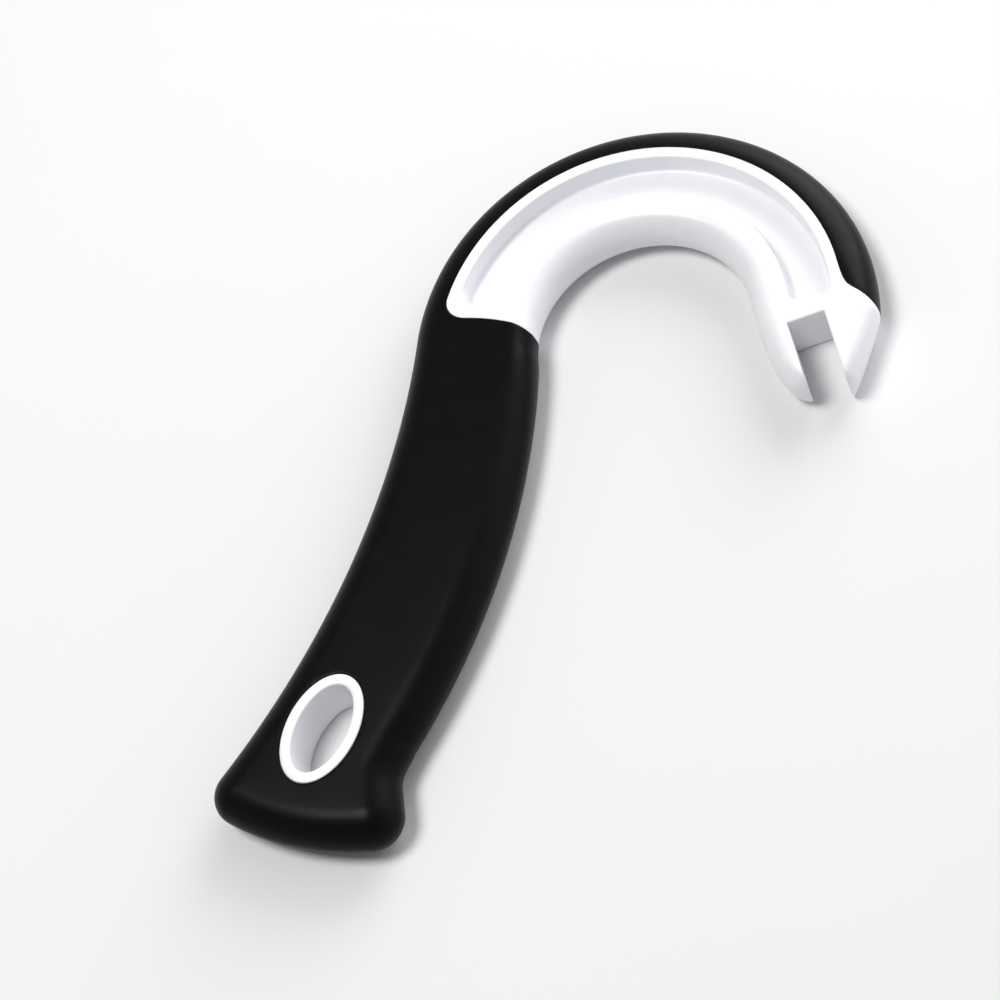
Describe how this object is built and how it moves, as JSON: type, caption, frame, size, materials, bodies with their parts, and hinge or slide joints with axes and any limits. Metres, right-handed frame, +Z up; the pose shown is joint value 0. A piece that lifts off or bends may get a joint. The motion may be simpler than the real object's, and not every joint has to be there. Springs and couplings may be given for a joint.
{
  "type": "ring-pull can opener",
  "caption": "J-shaped hand lever with a rigid white hook, a slotted tip that slips under a can's pull ring, and a black soft-touch handle with a hanging eye.",
  "frame": {"origin": "under the middle of the object, on the surface it lies on", "axes": "+Y along the handle towards the top of the hook, +X towards the slotted tip, +Z up through the thickness"},
  "size_m": [0.0844, 0.1534, 0.0106],
  "materials": {
    "core": "smooth, semi-gloss white",
    "grip": "matt soft-touch elastomer"
  },
  "bodies": {
    "root": {"core": "core", "grip": "grip"}
  },
  "joints": []
}
